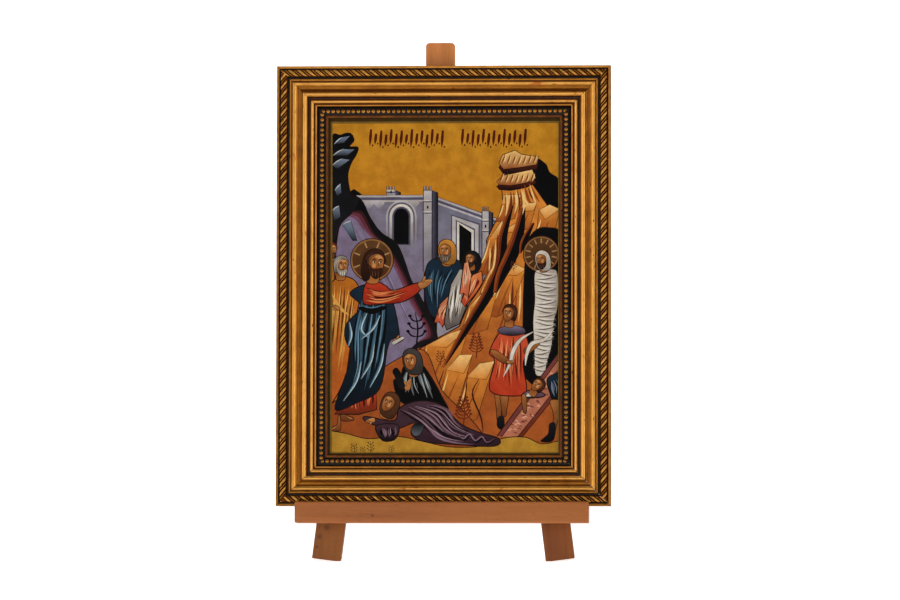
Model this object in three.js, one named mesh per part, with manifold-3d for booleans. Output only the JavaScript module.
// A framed icon print resting on a folding tabletop easel.
// Millimetres, +Z up, the picture faces -Y, origin at the middle of the part's footprint.
import * as THREE from 'three';
import { mergeVertices } from 'three/addons/utils/BufferGeometryUtils.js';
import Module from 'manifold-3d';

const wasm = await Module();
wasm.setup();

// Clearance kept between neighbouring pieces
const FIT_GAP = 0.3;

// Picture frame: outer size, and the rebate cut behind the sight edge for the board
const FRAME_WIDTH = 281;
const FRAME_HEIGHT = 370;
const REBATE_WIDTH = 7.8;
const REBATE_DEPTH = 7.8;
const OUTER_ARRIS = 0.8;

// Members of the moulding from its outer edge to the sight edge.
// height is above the frame's back, rise is how far a bead stands up or a scoop sinks.
const MEMBERS = {
  outerFillet: { width: 2.0, height: 18.5, rise: 0 },
  outerQuirk: { width: 0.8, height: 16.6, rise: 0 },
  ropeBed: { width: 6.2, height: 16.2, rise: 0 },
  ropeHollow: { width: 1.8, height: 15.4, rise: 0 },
  step: { width: 1.5, height: 17.4, rise: 0 },
  stepQuirk: { width: 0.3, height: 16.6, rise: 0 },
  upperBead: { width: 3.8, height: 16.3, rise: 1.0 },
  scoop: { width: 4.4, height: 14.9, rise: -0.9 },
  torus: { width: 4.8, height: 14.2, rise: 1.8 },
  darkGroove: { width: 2.1, height: 11.4, rise: 0 },
  innerBead: { width: 3.3, height: 12.2, rise: 1.3 },
  innerQuirk: { width: 0.7, height: 11.4, rise: 0 },
  thinBead: { width: 1.9, height: 11.8, rise: 0.8 },
  pearlChannel: { width: 7.2, height: 9.6, rise: 0 },
  sightLip: { width: 2.2, height: 10.0, rise: 0 },
};
const CURVE_STEPS = 4;

// Carved rope: one thick slanting strand for each pitch
const ROPE_PITCH = 7.6;
const ROPE_CREST = 4.4;
const ROPE_VALLEY = 2.2;
const ROPE_SLANT_DEG = 40;
const ROPE_SHOULDERS = [0.3, 0.7];

// Row of pearls in the inner channel
const PEARL_PITCH = 4.25;
const PEARL_RADIUS = 1.8;
const PEARL_RISE = 2.9;
const PEARL_OFFSET = 4.1;
const PEARL_SIDES = 6;

// Icon print on its board, held in the rebate by flat tabs
const BOARD_THICKNESS = 4;
const TAB_WIDTH = 12;
const TAB_THICKNESS = 0.6;
const TAB_BITE = 4;
const TAB_REACH = 7;
const TABS_APART = { across: 110, upright: 170 };

// Easel timber and its lean
const LEAN_DEG = 14;
const TIMBER_WIDTH = 24.5;
const TIMBER_THICKNESS = 12;
const TIMBER_ARRIS = 1.2;
const MAST_CORNER = 3;
const LEG_CORNER = 1.5;
const BAR_CORNER = 2;

// Easel layout, measured along the leaning front from the level of the toes
const SHELF_HEIGHT = 46;
const FRAME_OFFSET = 0.8;
const MAST_OFFSET = -3;
const MAST_ABOVE_FRAME = 21.3;
const MAST_FOOT_HEIGHT = 35;
const TOE_SPREAD = 197;
const LEG_SPLAY_DEG = 7.2;
const LEG_TOP_HEIGHT = 318;
const TOE_EASE = 0.5;

// Ledge that carries the frame, with a raised front lip
const LEDGE_LENGTH = 246;
const LEDGE_HEIGHT = 17.8;
const LIP_THICKNESS = 8;
const LIP_RISE = 3.5;
const LEDGE_ROUND = 1.6;

// Crossbars behind the legs
const UPPER_BAR_HEIGHT = 28;
const UPPER_BAR_LENGTH = 152;
const LOWER_BAR_HEIGHT = 24.5;
const LOWER_BAR_LENGTH = 206;
const LOWER_BAR_FOOT = 54;

// Back leg and its butt hinge
const PIN_HEIGHT = 300;
const BACK_REACH = 190;
const BACK_LEG_ABOVE_PIN = 12;
const PIN_BELOW_BAR_TOP = 13;
const LEAF_WIDTH = 24;
const LEAF_DROP = 13.5;
const LEAF_THICKNESS = 1.5;
const PIN_RADIUS = 0.8;
const KNUCKLE_BORE_GAP = 0.3;
const KNUCKLES = 3;
const ROUND_SIDES = 8;

// Wood screws
const SCREW_HEAD_RADIUS = 3.4;
const SCREW_HEAD_HEIGHT = 1.8;
const SCREW_SHANK_RADIUS = 1.6;
const SCREW_BITE = 9;
const HINGE_SCREW_HEAD_RADIUS = 1.9;
const HINGE_SCREW_SHANK_RADIUS = 0.9;
const HINGE_SCREW_BITE = 8;
const HINGE_SCREWS_APART = 14;
const SCREW_SIDES = 6;

const LEAN = THREE.MathUtils.degToRad(LEAN_DEG);
const SPLAY = THREE.MathUtils.degToRad(LEG_SPLAY_DEG);
const OVERCUT = 2;
const FAR = 1000;

// Sizes that follow from the driving ones
const MOULDING_WIDTH = Object.values(MEMBERS).reduce((sum, member) => sum + member.width, 0);
const ROPE_TOP = MEMBERS.ropeBed.height + ROPE_CREST;
const REBATE_WALL = MOULDING_WIDTH - REBATE_WIDTH;
const PICTURE_LEVEL = REBATE_DEPTH - FIT_GAP;
const FRAME_FRONT = FIT_GAP + Math.max(ROPE_TOP, MEMBERS.outerFillet.height);
const LEDGE_DEPTH = FRAME_FRONT + LIP_THICKNESS;
const BAR_FRONT = TIMBER_THICKNESS + FIT_GAP;
const BAR_BACK = BAR_FRONT + TIMBER_THICKNESS;
const KNUCKLE_RADIUS = LEAF_THICKNESS + FIT_GAP / 2;
const PIN_DEPTH = BAR_BACK + FIT_GAP + KNUCKLE_RADIUS;
const LEG_FACE_FROM_PIN = KNUCKLE_RADIUS + FIT_GAP;
const UPPER_BAR_FOOT = PIN_HEIGHT + PIN_BELOW_BAR_TOP - UPPER_BAR_HEIGHT;
const LEDGE_FOOT = SHELF_HEIGHT + LIP_RISE - LEDGE_HEIGHT;

// The back leg's slope comes from how far behind the toes it reaches the floor
const PIN_BEHIND = PIN_DEPTH * Math.cos(LEAN) + PIN_HEIGHT * Math.sin(LEAN);
const PIN_ABOVE_FLOOR = PIN_HEIGHT * Math.cos(LEAN) - PIN_DEPTH * Math.sin(LEAN);
const OPEN_ANGLE = LEAN + Math.atan2(BACK_REACH - PIN_BEHIND, PIN_ABOVE_FLOOR);

const gold = () => new THREE.MeshStandardMaterial({ color: '#a9763a', roughness: 0.42, metalness: 0.55 });
const print = () => new THREE.MeshStandardMaterial({ color: '#a87a3c', roughness: 0.5, metalness: 0 });
const beech = () => new THREE.MeshStandardMaterial({ color: '#b98259', roughness: 0.55, metalness: 0 });
const brass = () => new THREE.MeshStandardMaterial({ color: '#b89a5a', roughness: 0.35, metalness: 1 });
const steel = () => new THREE.MeshStandardMaterial({ color: '#a6a6a4', roughness: 0.4, metalness: 1 });

// A closed solid from a geometry whose shared corners are merged
function toSolid(geometry) {
  const bare = geometry.clone();
  bare.deleteAttribute('normal');
  bare.deleteAttribute('uv');
  const merged = mergeVertices(bare, 1e-4);
  const corners = merged.index.array;
  const kept = [];
  for (let i = 0; i < corners.length; i += 3) {
    const [a, b, c] = [corners[i], corners[i + 1], corners[i + 2]];
    if (a !== b && b !== c && c !== a) kept.push(a, b, c);
  }
  return new wasm.Manifold(new wasm.Mesh({
    numProp: 3,
    vertProperties: new Float32Array(merged.attributes.position.array),
    triVerts: new Uint32Array(kept),
  }));
}

// The geometry of a cut or joined solid
function toGeometry(solid) {
  const mesh = solid.getMesh();
  const geometry = new THREE.BufferGeometry();
  geometry.setAttribute('position', new THREE.BufferAttribute(new Float32Array(mesh.vertProperties), 3));
  geometry.setIndex(new THREE.BufferAttribute(new Uint32Array(mesh.triVerts), 1));
  const faceted = geometry.toNonIndexed();
  faceted.computeVertexNormals();
  return faceted;
}

// Cuts every given geometry away from the first one
function cut(geometry, ...tools) {
  const solid = tools.reduce((left, tool) => left.subtract(toSolid(tool)), toSolid(geometry));
  return toGeometry(solid);
}

function named(name, geometry, material) {
  const mesh = new THREE.Mesh(geometry, material);
  mesh.name = name;
  return mesh;
}

// An outline drawn in the X-Z plane and extruded back from y = 0
function slab(shape, depth, options = {}) {
  const geometry = new THREE.ExtrudeGeometry(shape, { depth, bevelEnabled: false, ...options });
  geometry.applyMatrix4(new THREE.Matrix4().makeBasis(
    new THREE.Vector3(1, 0, 0), new THREE.Vector3(0, 0, 1), new THREE.Vector3(0, -1, 0)));
  return geometry.translate(0, depth, 0);
}

// A box given by its lowest and highest corners
function boxBetween(low, high) {
  const size = high.map((value, axis) => value - low[axis]);
  return new THREE.BoxGeometry(...size)
    .translate(...low.map((value, axis) => value + size[axis] / 2));
}

// A rod along Y from its front end to its back end
function rodAlongY(x, z, radius, front, back, sides) {
  return new THREE.CylinderGeometry(radius, radius, back - front, sides)
    .translate(x, (front + back) / 2, z);
}

// Points of the moulding's section: across from the outer edge, and up from the back
function mouldingOutline() {
  const points = [[0, 0], [0, MEMBERS.outerFillet.height - OUTER_ARRIS]];
  let across = 0;
  for (const { width, height, rise } of Object.values(MEMBERS)) {
    const steps = rise === 0 ? 1 : CURVE_STEPS;
    for (let i = 0; i <= steps; i += 1) {
      const share = i / steps;
      const start = across === 0 && i === 0 ? OUTER_ARRIS : 0;
      points.push([across + start + share * (width - start), height + rise * Math.sin(Math.PI * share)]);
    }
    across += width;
  }
  points.push([MOULDING_WIDTH, REBATE_DEPTH], [REBATE_WALL, REBATE_DEPTH], [REBATE_WALL, 0]);
  return points;
}

// Distance from the moulding's outer edge to where the named member starts
function memberStart(name) {
  const names = Object.keys(MEMBERS);
  const before = names.slice(0, names.indexOf(name));
  return before.reduce((sum, key) => sum + MEMBERS[key].width, 0);
}

// A straight length of moulding along X, its outer edge at z = 0 and its back at y = 0
function mouldingBlank(length) {
  const shape = new THREE.Shape(mouldingOutline().map(([across, up]) => new THREE.Vector2(across, up)));
  const geometry = new THREE.ExtrudeGeometry(shape, { depth: length, bevelEnabled: false });
  geometry.applyMatrix4(new THREE.Matrix4().makeBasis(
    new THREE.Vector3(0, 0, -1), new THREE.Vector3(0, -1, 0), new THREE.Vector3(-1, 0, 0)));
  return geometry.translate(length / 2, 0, 0);
}

// A closed skin over rings that each have the same number of points
function loft(rings) {
  const count = rings[0].length;
  const positions = rings.flat().flatMap((point) => point.toArray());
  const faces = [];
  for (let ring = 0; ring < rings.length - 1; ring += 1) {
    for (let i = 0; i < count; i += 1) {
      const next = (i + 1) % count;
      const [a, b] = [ring * count + i, ring * count + next];
      faces.push(a, b, b + count, a, b + count, a + count);
    }
  }
  const last = (rings.length - 1) * count;
  for (let i = 1; i < count - 1; i += 1) {
    faces.push(0, i + 1, i, last, last + i, last + i + 1);
  }
  const geometry = new THREE.BufferGeometry();
  geometry.setAttribute('position', new THREE.Float32BufferAttribute(positions, 3));
  geometry.setIndex(faces);
  return geometry;
}

// The twisted rope: crests and valleys by turns, each ring slanted across the band
function ropeBar(length) {
  const bed = MEMBERS.ropeBed;
  const start = memberStart('ropeBed');
  const slant = 1 / Math.tan(THREE.MathUtils.degToRad(ROPE_SLANT_DEG));
  const half = Math.ceil(length / ROPE_PITCH);
  const rings = [];
  for (let i = -half; i <= half; i += 1) {
    const top = bed.height + (i % 2 === 0 ? ROPE_CREST : ROPE_VALLEY);
    const root = bed.height - OVERCUT;
    const [near, far] = ROPE_SHOULDERS;
    const section = [[0, bed.height], [near, top], [far, top], [1, bed.height], [1, root], [0, root]];
    rings.push(section.map(([share, up]) => {
      const across = share * bed.width;
      const along = i * ROPE_PITCH / 2 + (across - bed.width / 2) * slant;
      return new THREE.Vector3(along, -up, -(start + across));
    }));
  }
  return loft(rings);
}

// One pearl as a low faceted dome that stands on the channel's floor
function pearl(along) {
  const floor = MEMBERS.pearlChannel.height;
  const profile = [
    [0, floor - OVERCUT / 2], [PEARL_RADIUS, floor - OVERCUT / 2], [PEARL_RADIUS, floor],
    [0, floor + PEARL_RISE],
  ];
  const geometry = new THREE.LatheGeometry(profile.map(([r, up]) => new THREE.Vector2(r, up)), PEARL_SIDES);
  return geometry.rotateX(Math.PI).translate(along, 0, -(memberStart('pearlChannel') + PEARL_OFFSET));
}

// Everything between two mitre planes of a rail with this outer length
function mitreBlock(length) {
  const back = FIT_GAP / 2 * Math.SQRT2;
  const outer = length / 2 + OVERCUT - back;
  const inner = length / 2 - MOULDING_WIDTH - OVERCUT - back;
  const shape = new THREE.Shape([
    new THREE.Vector2(-inner, -MOULDING_WIDTH - OVERCUT), new THREE.Vector2(inner, -MOULDING_WIDTH - OVERCUT),
    new THREE.Vector2(outer, OVERCUT), new THREE.Vector2(-outer, OVERCUT),
  ]);
  const depth = ROPE_TOP + 2 * OVERCUT;
  return slab(shape, depth).translate(0, OVERCUT - depth, 0);
}

// Where a tab lies in its rail: across from the outer edge, and up from the back
function tabBox(along, clearance) {
  const up = PICTURE_LEVEL - BOARD_THICKNESS - FIT_GAP;
  const outer = REBATE_WALL - TAB_BITE;
  const inner = REBATE_WALL + TAB_REACH;
  return boxBetween(
    [along - TAB_WIDTH / 2 - clearance, -up - clearance, -inner],
    [along + TAB_WIDTH / 2 + clearance, -up + TAB_THICKNESS + clearance, -outer + clearance]);
}

// One mitred rail with its rope, pearls and the slots that take the tabs
function railGeometry(length, tabPlaces) {
  const blank = length + 2 * OVERCUT;
  let rail = toSolid(mouldingBlank(blank)).add(toSolid(ropeBar(blank)));
  const pearlsEachWay = Math.ceil((length / 2 - memberStart('pearlChannel')) / PEARL_PITCH);
  for (let i = -pearlsEachWay; i <= pearlsEachWay; i += 1) {
    rail = rail.add(toSolid(pearl(i * PEARL_PITCH)));
  }
  for (const along of tabPlaces) {
    rail = rail.subtract(toSolid(tabBox(along, FIT_GAP)));
  }
  return toGeometry(rail.intersect(toSolid(mitreBlock(length))));
}

// The frame's four rails, each turned a quarter further, with the tabs they hold
function pictureFrame() {
  const frame = new THREE.Group();
  const sides = [
    { side: 'top', length: FRAME_WIDTH, reach: FRAME_HEIGHT / 2, apart: TABS_APART.across },
    { side: 'right', length: FRAME_HEIGHT, reach: FRAME_WIDTH / 2, apart: TABS_APART.upright },
    { side: 'bottom', length: FRAME_WIDTH, reach: FRAME_HEIGHT / 2, apart: TABS_APART.across },
    { side: 'left', length: FRAME_HEIGHT, reach: FRAME_WIDTH / 2, apart: TABS_APART.upright },
  ];
  sides.forEach(({ side, length, reach, apart }, quarter) => {
    const turned = new THREE.Group();
    turned.rotation.y = quarter * Math.PI / 2;
    const tabPlaces = [-apart / 2, apart / 2];
    const rail = named(`frame_rail_${side}`, railGeometry(length, tabPlaces), gold());
    rail.position.z = reach;
    turned.add(rail);
    tabPlaces.forEach((along, index) => {
      const tab = named(`retaining_tab_${side}_${index + 1}`, tabBox(along, 0), steel());
      tab.position.z = reach;
      turned.add(tab);
    });
    frame.add(turned);
  });
  return frame;
}

// The print's board, filling the rebate but for the fit gap
function iconBoard() {
  const width = FRAME_WIDTH - 2 * REBATE_WALL - 2 * FIT_GAP;
  const height = FRAME_HEIGHT - 2 * REBATE_WALL - 2 * FIT_GAP;
  const geometry = new THREE.BoxGeometry(width, BOARD_THICKNESS, height)
    .translate(0, BOARD_THICKNESS / 2 - PICTURE_LEVEL, 0);
  return named('icon_board', geometry, print());
}

// A flat length of timber standing on z = 0, its front at y = 0, with eased edges
function batten(width, length, corner) {
  const [x, r, a] = [width / 2 - TIMBER_ARRIS, Math.max(corner - TIMBER_ARRIS, 0.1), TIMBER_ARRIS];
  const shape = new THREE.Shape();
  shape.moveTo(-x + r, a);
  shape.lineTo(x - r, a);
  shape.absarc(x - r, a + r, r, -Math.PI / 2, 0);
  shape.absarc(x - r, length - a - r, r, 0, Math.PI / 2);
  shape.absarc(-x + r, length - a - r, r, Math.PI / 2, Math.PI);
  shape.absarc(-x + r, a + r, r, Math.PI, 1.5 * Math.PI);
  const depth = TIMBER_THICKNESS - 2 * a;
  const options = { bevelEnabled: true, bevelSize: a, bevelThickness: a, bevelSegments: 1, curveSegments: 1 };
  return slab(shape, depth, options).translate(0, a, 0);
}

// Half-width centre line of a front leg at a height up the leaning front
function legCentre(height) {
  return TOE_SPREAD / 2 - height * Math.tan(SPLAY);
}

// A wood screw along Y: its head stands behind y, its shank runs forward from there
function screwGeometry(headRadius, headHeight, shankRadius, shankLength) {
  const profile = [[0, -shankLength], [shankRadius, -shankLength], [shankRadius, 0],
    [headRadius, 0], [headRadius * 0.8, headHeight], [0, headHeight]];
  return new THREE.LatheGeometry(profile.map(([r, y]) => new THREE.Vector2(r, y)), SCREW_SIDES);
}

// The screws of the front: what they pass through, where they stand and where their head bears
function frontScrews() {
  const screws = [];
  const ledgeHeight = (LEDGE_FOOT + SHELF_HEIGHT) / 2;
  const lowerHeight = LOWER_BAR_FOOT + LOWER_BAR_HEIGHT / 2;
  const upperHeight = UPPER_BAR_FOOT + UPPER_BAR_HEIGHT / 2;
  for (const [side, sign] of [['left', -1], ['right', 1]]) {
    screws.push({ name: `screw_ledge_${side}`, x: sign * legCentre(ledgeHeight), z: ledgeHeight, face: TIMBER_THICKNESS });
    screws.push({ name: `screw_lower_bar_${side}`, x: sign * legCentre(lowerHeight), z: lowerHeight, face: BAR_BACK });
    screws.push({ name: `screw_upper_bar_${side}`, x: sign * legCentre(upperHeight), z: upperHeight, face: BAR_BACK });
  }
  screws.push({ name: 'screw_ledge_middle', x: 0, z: ledgeHeight, face: TIMBER_THICKNESS });
  screws.push({ name: 'screw_lower_bar_middle', x: 0, z: lowerHeight, face: BAR_BACK });
  return screws;
}

// The room that every front screw needs, in the leaning front's own frame
function frontScrewHoles() {
  return frontScrews().map(({ x, z, face }) => rodAlongY(
    x, z, SCREW_SHANK_RADIUS + FIT_GAP,
    face - TIMBER_THICKNESS - FIT_GAP - SCREW_BITE - FIT_GAP, face + OVERCUT, SCREW_SIDES));
}

// Cuts tools given in the leaning front's frame out of a mesh that is placed in it
function cutInPlace(mesh, tools) {
  mesh.updateMatrix();
  const inverse = mesh.matrix.clone().invert();
  mesh.geometry = cut(mesh.geometry, ...tools.map((tool) => tool.clone().applyMatrix4(inverse)));
  return mesh;
}

// The ground below the part, as seen in the leaning front's frame
function groundInLean() {
  return boxBetween([-FAR, -FAR, -FAR], [FAR, FAR, 0]).rotateX(LEAN);
}

function mast() {
  const top = SHELF_HEIGHT + FRAME_HEIGHT + MAST_ABOVE_FRAME;
  const mesh = named('easel_mast', batten(TIMBER_WIDTH, top - MAST_FOOT_HEIGHT, MAST_CORNER), beech());
  mesh.position.set(MAST_OFFSET, 0, MAST_FOOT_HEIGHT);
  return cutInPlace(mesh, frontScrewHoles());
}

// A splayed front leg, its end level from front to back and its inner toe eased flat on the floor
function frontLeg(side, sign) {
  const foot = TIMBER_WIDTH / 2 * Math.sin(SPLAY) - TOE_EASE / Math.cos(LEAN);
  const overlap = TIMBER_THICKNESS;
  const length = (LEG_TOP_HEIGHT - foot) / Math.cos(SPLAY) + overlap;
  const blank = batten(TIMBER_WIDTH, length, LEG_CORNER).translate(0, 0, -overlap);
  const saw = boxBetween([-FAR, -FAR, -FAR], [FAR, FAR, 0]).rotateX(LEAN);
  const mesh = named(`easel_leg_${side}`, cut(blank, saw), beech());
  mesh.rotation.y = -sign * SPLAY;
  mesh.position.set(sign * legCentre(foot), 0, foot);
  return cutInPlace(mesh, [groundInLean(), ...frontScrewHoles()]);
}

// The ledge's section: a shelf with a lip standing up along its front
function ledge() {
  const r = LEDGE_ROUND;
  const shelf = LEDGE_HEIGHT - LIP_RISE - FIT_GAP;
  const shape = new THREE.Shape();
  shape.moveTo(0, 0);
  shape.lineTo(LEDGE_DEPTH - r, 0);
  shape.absarc(LEDGE_DEPTH - r, r, r, -Math.PI / 2, 0);
  shape.absarc(LEDGE_DEPTH - r, LEDGE_HEIGHT - r, r, 0, Math.PI / 2);
  shape.absarc(LEDGE_DEPTH - LIP_THICKNESS + r, LEDGE_HEIGHT - r, r, Math.PI / 2, Math.PI);
  shape.lineTo(LEDGE_DEPTH - LIP_THICKNESS, shelf);
  shape.lineTo(0, shelf);
  const geometry = new THREE.ExtrudeGeometry(shape, { depth: LEDGE_LENGTH, bevelEnabled: false, curveSegments: 2 });
  geometry.applyMatrix4(new THREE.Matrix4().makeBasis(
    new THREE.Vector3(0, -1, 0), new THREE.Vector3(0, 0, 1), new THREE.Vector3(-1, 0, 0)));
  geometry.translate(LEDGE_LENGTH / 2, 0, 0);
  const mesh = named('easel_ledge', geometry, beech());
  mesh.position.set(0, -FIT_GAP, LEDGE_FOOT);
  return cutInPlace(mesh, frontScrewHoles());
}

function crossbar(name, length, height, foot) {
  const mesh = named(name, batten(length, height, BAR_CORNER), beech());
  mesh.position.set(0, BAR_FRONT, foot);
  return mesh;
}

// Room for a hinge leaf's screws, bored straight into the wood behind or before the leaf
function hingeScrewHoles(radius, front, back, z) {
  return [-1, 1].map((sign) => rodAlongY(sign * HINGE_SCREWS_APART / 2, z, radius, front, back, SCREW_SIDES));
}

// A rod along X, used for knuckles, their bore and the pin
function rodAlongX(radius, low, high) {
  return new THREE.CylinderGeometry(radius, radius, high - low, ROUND_SIDES)
    .rotateZ(Math.PI / 2)
    .translate((low + high) / 2, 0, 0);
}

// One leaf around the pin at the origin: knuckles with this parity, and a plate hanging down.
// The plate of the leaf on the bar lies in front of the pin, the moving one's behind it.
function hingeLeaf(parity, behind) {
  const pitch = LEAF_WIDTH / KNUCKLES;
  const plateY = behind ? [FIT_GAP / 2, KNUCKLE_RADIUS] : [-KNUCKLE_RADIUS, -FIT_GAP / 2];
  const plateTop = -KNUCKLE_RADIUS - FIT_GAP;
  let leaf = toSolid(boxBetween(
    [-LEAF_WIDTH / 2, plateY[0], -LEAF_DROP], [LEAF_WIDTH / 2, plateY[1], plateTop]));
  for (let i = parity; i < KNUCKLES; i += 2) {
    const low = -LEAF_WIDTH / 2 + i * pitch + (i > 0 ? FIT_GAP / 2 : 0);
    const high = -LEAF_WIDTH / 2 + (i + 1) * pitch - (i < KNUCKLES - 1 ? FIT_GAP / 2 : 0);
    const tongue = boxBetween([low, plateY[0], plateTop - LEAF_THICKNESS], [high, plateY[1], 0]);
    leaf = leaf.add(toSolid(rodAlongX(KNUCKLE_RADIUS, low, high))).add(toSolid(tongue));
  }
  leaf = leaf.subtract(toSolid(rodAlongX(PIN_RADIUS + KNUCKLE_BORE_GAP, -LEAF_WIDTH, LEAF_WIDTH)));
  for (const hole of hingeScrewHoles(
    HINGE_SCREW_HEAD_RADIUS + FIT_GAP, -FAR, FAR, hingeScrewDrop())) {
    leaf = leaf.subtract(toSolid(hole));
  }
  return toGeometry(leaf);
}

// Height of the hinge screws against the pin
function hingeScrewDrop() {
  return -(KNUCKLE_RADIUS + LEAF_DROP) / 2 - FIT_GAP;
}

// A flat-headed screw of the hinge: its head sits inside the leaf, its shank in the wood
function hingeScrew(name, x, intoWood) {
  const head = LEAF_THICKNESS - FIT_GAP;
  const profile = [[0, 0], [HINGE_SCREW_HEAD_RADIUS, 0], [HINGE_SCREW_HEAD_RADIUS, head],
    [HINGE_SCREW_SHANK_RADIUS, head], [HINGE_SCREW_SHANK_RADIUS, head + HINGE_SCREW_BITE],
    [0, head + HINGE_SCREW_BITE]];
  const geometry = new THREE.LatheGeometry(profile.map(([r, y]) => new THREE.Vector2(r, y)), SCREW_SIDES);
  if (!intoWood.backward) geometry.rotateX(Math.PI);
  const mesh = named(name, geometry, brass());
  mesh.position.set(x, (intoWood.backward ? 1 : -1) * FIT_GAP / 2, hingeScrewDrop());
  return mesh;
}

// The hinge's fixed half on the upper bar, with the pin
function fixedHinge() {
  const group = new THREE.Group();
  group.position.set(0, PIN_DEPTH, PIN_HEIGHT);
  group.add(named('hinge_leaf_fixed', hingeLeaf(0, false), brass()));
  group.add(named('hinge_pin', rodAlongX(PIN_RADIUS, -LEAF_WIDTH / 2, LEAF_WIDTH / 2), brass()));
  [-1, 1].forEach((sign, index) => {
    group.add(hingeScrew(`hinge_screw_fixed_${index + 1}`, sign * HINGE_SCREWS_APART / 2, { backward: false }));
  });
  return group;
}

// The back leg with the hinge's moving half, drawn at the pin and swung open about it
function backLeg() {
  const group = new THREE.Group();
  group.position.set(0, PIN_DEPTH, PIN_HEIGHT);
  group.rotation.x = OPEN_ANGLE;
  group.updateMatrix();
  const inverse = group.matrix.clone().invert();
  const length = PIN_HEIGHT + BACK_LEG_ABOVE_PIN + TIMBER_WIDTH;
  const blank = batten(TIMBER_WIDTH, length, LEG_CORNER)
    .translate(0, LEG_FACE_FROM_PIN, BACK_LEG_ABOVE_PIN - length);
  const bearing = boxBetween([-FAR, -FAR, -FAR], [FAR, BAR_BACK + FIT_GAP, FAR]).applyMatrix4(inverse);
  const ground = groundInLean().applyMatrix4(inverse);
  const pilots = hingeScrewHoles(HINGE_SCREW_SHANK_RADIUS + FIT_GAP, 0,
    LEG_FACE_FROM_PIN + HINGE_SCREW_BITE, hingeScrewDrop());
  group.add(named('easel_back_leg', cut(blank, bearing, ground, ...pilots), beech()));
  group.add(named('hinge_leaf_moving', hingeLeaf(1, true), brass()));
  [-1, 1].forEach((sign, index) => {
    group.add(hingeScrew(`hinge_screw_moving_${index + 1}`, sign * HINGE_SCREWS_APART / 2, { backward: true }));
  });
  return group;
}

// The leaning front of the easel
function easelFront() {
  const group = new THREE.Group();
  const upper = crossbar('easel_upper_bar', UPPER_BAR_LENGTH, UPPER_BAR_HEIGHT, UPPER_BAR_FOOT);
  const pilots = hingeScrewHoles(HINGE_SCREW_SHANK_RADIUS + FIT_GAP,
    BAR_BACK - HINGE_SCREW_BITE, BAR_BACK + OVERCUT, PIN_HEIGHT + hingeScrewDrop());
  group.add(cutInPlace(upper, [...frontScrewHoles(), ...pilots]));
  const lower = crossbar('easel_lower_bar', LOWER_BAR_LENGTH, LOWER_BAR_HEIGHT, LOWER_BAR_FOOT);
  group.add(cutInPlace(lower, frontScrewHoles()));
  group.add(mast(), frontLeg('left', -1), frontLeg('right', 1), ledge(), fixedHinge());
  const shank = TIMBER_THICKNESS + FIT_GAP + SCREW_BITE;
  for (const { name, x, z, face } of frontScrews()) {
    const screw = named(name,
      screwGeometry(SCREW_HEAD_RADIUS, SCREW_HEAD_HEIGHT, SCREW_SHANK_RADIUS, shank), steel());
    screw.position.set(x, face + FIT_GAP, z);
    group.add(screw);
  }
  return group;
}

function assemble() {
  const framed = new THREE.Group();
  framed.add(pictureFrame(), iconBoard());
  framed.position.set(FRAME_OFFSET, -FIT_GAP, SHELF_HEIGHT + FRAME_HEIGHT / 2);
  const leaning = new THREE.Group();
  leaning.rotation.x = -LEAN;
  leaning.add(framed, easelFront(), backLeg());
  const centred = new THREE.Group();
  centred.add(leaning);
  const middle = new THREE.Box3().setFromObject(centred, true).getCenter(new THREE.Vector3());
  leaning.position.set(-middle.x, -middle.y, 0);
  const whole = new THREE.Group();
  whole.add(centred);
  return whole;
}

export default assemble();
